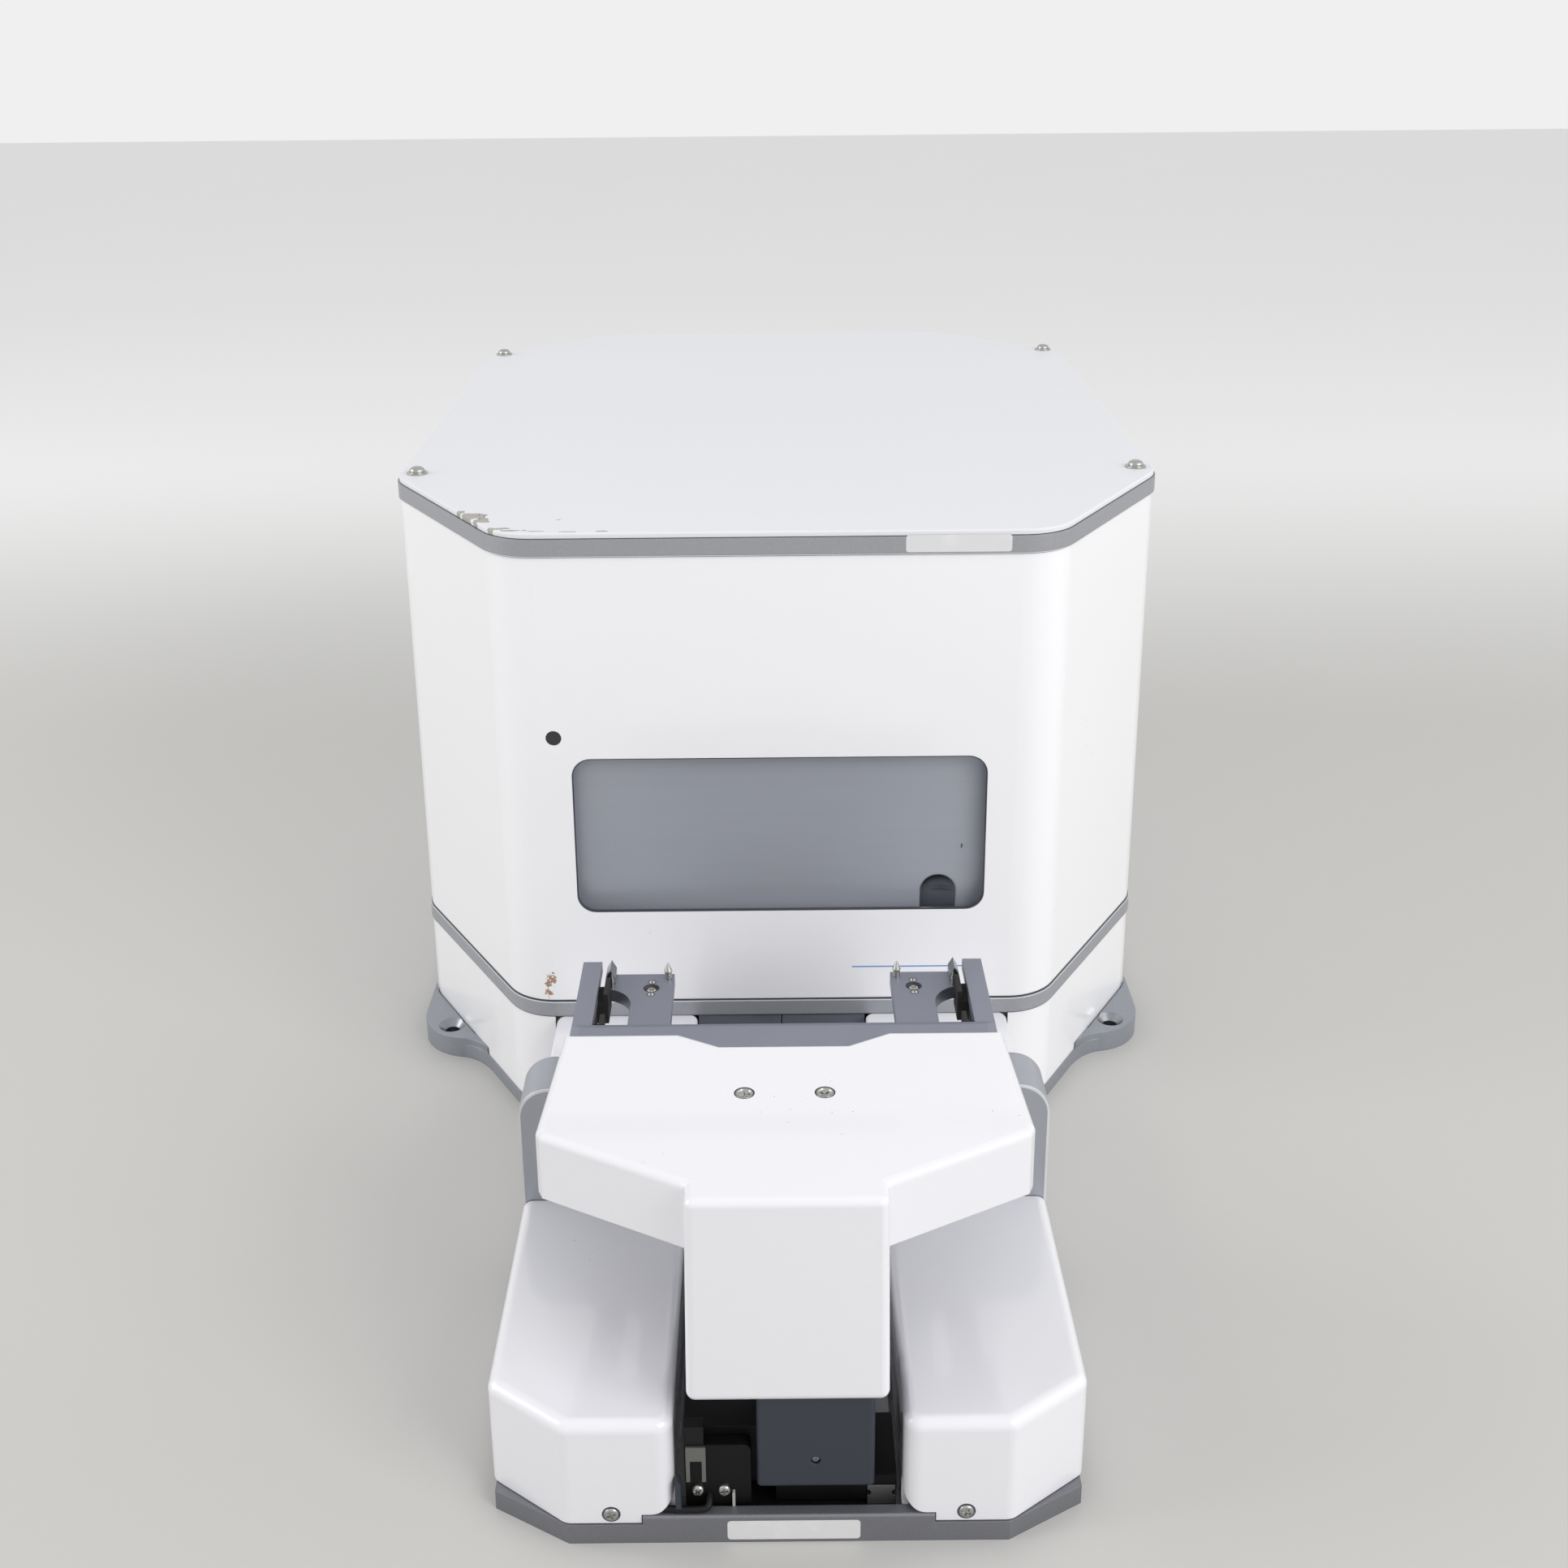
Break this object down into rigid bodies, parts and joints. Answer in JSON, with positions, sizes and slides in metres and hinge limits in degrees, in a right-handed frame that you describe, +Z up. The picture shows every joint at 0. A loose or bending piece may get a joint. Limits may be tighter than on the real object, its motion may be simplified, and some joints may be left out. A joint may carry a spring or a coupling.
{
  "type": "microplate centrifuge",
  "caption": "Bench centrifuge for microplates: eight-sided white housing with a sliding front door, swing-out rotor, and a docked loader whose gripper head feeds plates in.",
  "frame": {"origin": "where the rotor axis meets the bench, on the underside of the base plate", "axes": "+Z up along the rotor axis, +Y from the loader towards the housing's back, +X to the right seen from the loader"},
  "size_m": [0.34, 0.7112, 0.2717],
  "materials": {
    "gloss_white": "gloss white moulding",
    "satin_white": "satin white paint",
    "silver": "satin silver",
    "grey_paint": "satin grey paint",
    "anodised": "fine blasted grey anodising",
    "door_grey": "brushed grey anodising",
    "dark_grey": "dark grey paint",
    "black_anodised": "black anodising",
    "black_plastic": "matt black",
    "bright_steel": "bright steel",
    "plain_aluminium": "plain machined",
    "smoked_lens": "gloss dark lens",
    "board_green": "solder resist",
    "brass": "plain brass"
  },
  "bodies": {
    "housing": {"base_plate": "grey_paint", "lower_shell": "gloss_white", "trim_band": "silver", "upper_casing": "gloss_white", "top_rim": "silver", "top_plate": "satin_white", "top_screws": "bright_steel", "door_guides": "black_anodised", "door_frame": "plain_aluminium", "door_cylinder": "plain_aluminium", "status_lamp": "smoked_lens", "chamber_floor": "plain_aluminium", "armour_ring": "bright_steel", "chamber_lid": "plain_aluminium", "chamber_posts": "black_plastic", "motor_housing": "dark_grey", "motor_bearings": "bright_steel", "power_inlet": "black_plastic", "switch_frame": "black_plastic", "serial_port": "bright_steel", "air_fittings": "brass", "power_supply": "plain_aluminium", "controller_board": "board_green", "loader_base": "grey_paint", "side_cover_left": "gloss_white", "side_cover_right": "gloss_white", "loader_screws": "bright_steel", "bulkhead_left": "anodised", "bulkhead_right": "anodised", "rear_cover_left": "gloss_white", "rear_cover_right": "gloss_white", "dock_panels": "anodised", "linear_rail": "bright_steel", "rodless_cylinder": "bright_steel", "cylinder_ends": "black_anodised", "home_sensor": "black_plastic"},
    "door_leaf": {"door": "door_grey", "door_arm": "bright_steel"},
    "rotor": {"drive_shaft": "bright_steel", "rotor_yoke": "plain_aluminium", "rotor_knob": "black_plastic", "trunnion_pins": "bright_steel"},
    "front_bucket": {"bucket_front": "black_anodised"},
    "rear_bucket": {"bucket_rear": "black_anodised"},
    "rocker": {"power_rocker": "black_plastic"},
    "carriage": {"carriage_block": "black_anodised", "carriage_column": "dark_grey", "cylinder_shuttle": "black_anodised", "lift_rail": "bright_steel"},
    "gripper_head": {"lift_arm": "anodised", "gripper_frame": "anodised", "head_cover": "gloss_white", "head_screws": "bright_steel", "forks": "anodised", "fork_screws": "bright_steel", "guide_pins": "bright_steel", "guide_blades": "plain_aluminium", "grip_cylinder": "black_anodised"},
    "left_finger": {"finger_left": "black_anodised"},
    "right_finger": {"finger_right": "black_anodised"}
  },
  "joints": [
    {"name": "door_slide", "type": "slide", "parent": "housing", "child": "door_leaf", "axis": [0, 0, 1], "range_m": [0, 0.076]},
    {"name": "rotor_spin", "type": "hinge", "parent": "housing", "child": "rotor", "pos_m": [0, 0, 0.14], "axis": [0, 0, 1], "continuous": true},
    {"name": "front_bucket_swing", "type": "hinge", "parent": "rotor", "child": "front_bucket", "pos_m": [0, -0.072, 0.14], "axis": [1, 0, 0], "range_deg": [-90, 0]},
    {"name": "rear_bucket_swing", "type": "hinge", "parent": "rotor", "child": "rear_bucket", "pos_m": [0, 0.072, 0.14], "axis": [-1, 0, 0], "range_deg": [-90, 0]},
    {"name": "power_rocker_tip", "type": "hinge", "parent": "housing", "child": "rocker", "pos_m": [0.028, 0.281, 0.029], "axis": [1, 0, 0], "range_deg": [-12, 0]},
    {"name": "carriage_slide", "type": "slide", "parent": "housing", "child": "carriage", "axis": [0, 1, 0], "range_m": [0, 0.194]},
    {"name": "head_lift", "type": "slide", "parent": "carriage", "child": "gripper_head", "axis": [0, 0, 1], "range_m": [-0.0035, 0.0065]},
    {"name": "left_finger_grip", "type": "slide", "parent": "gripper_head", "child": "left_finger", "axis": [-1, 0, 0], "range_m": [0, 0.0018]},
    {"name": "right_finger_grip", "type": "slide", "parent": "gripper_head", "child": "right_finger", "axis": [1, 0, 0], "range_m": [0, 0.0018]}
  ],
  "couplings": [
    {"joint": "door_slide", "follows": "carriage_slide", "ratio": 0.39175},
    {"joint": "right_finger_grip", "follows": "left_finger_grip", "ratio": 1}
  ]
}
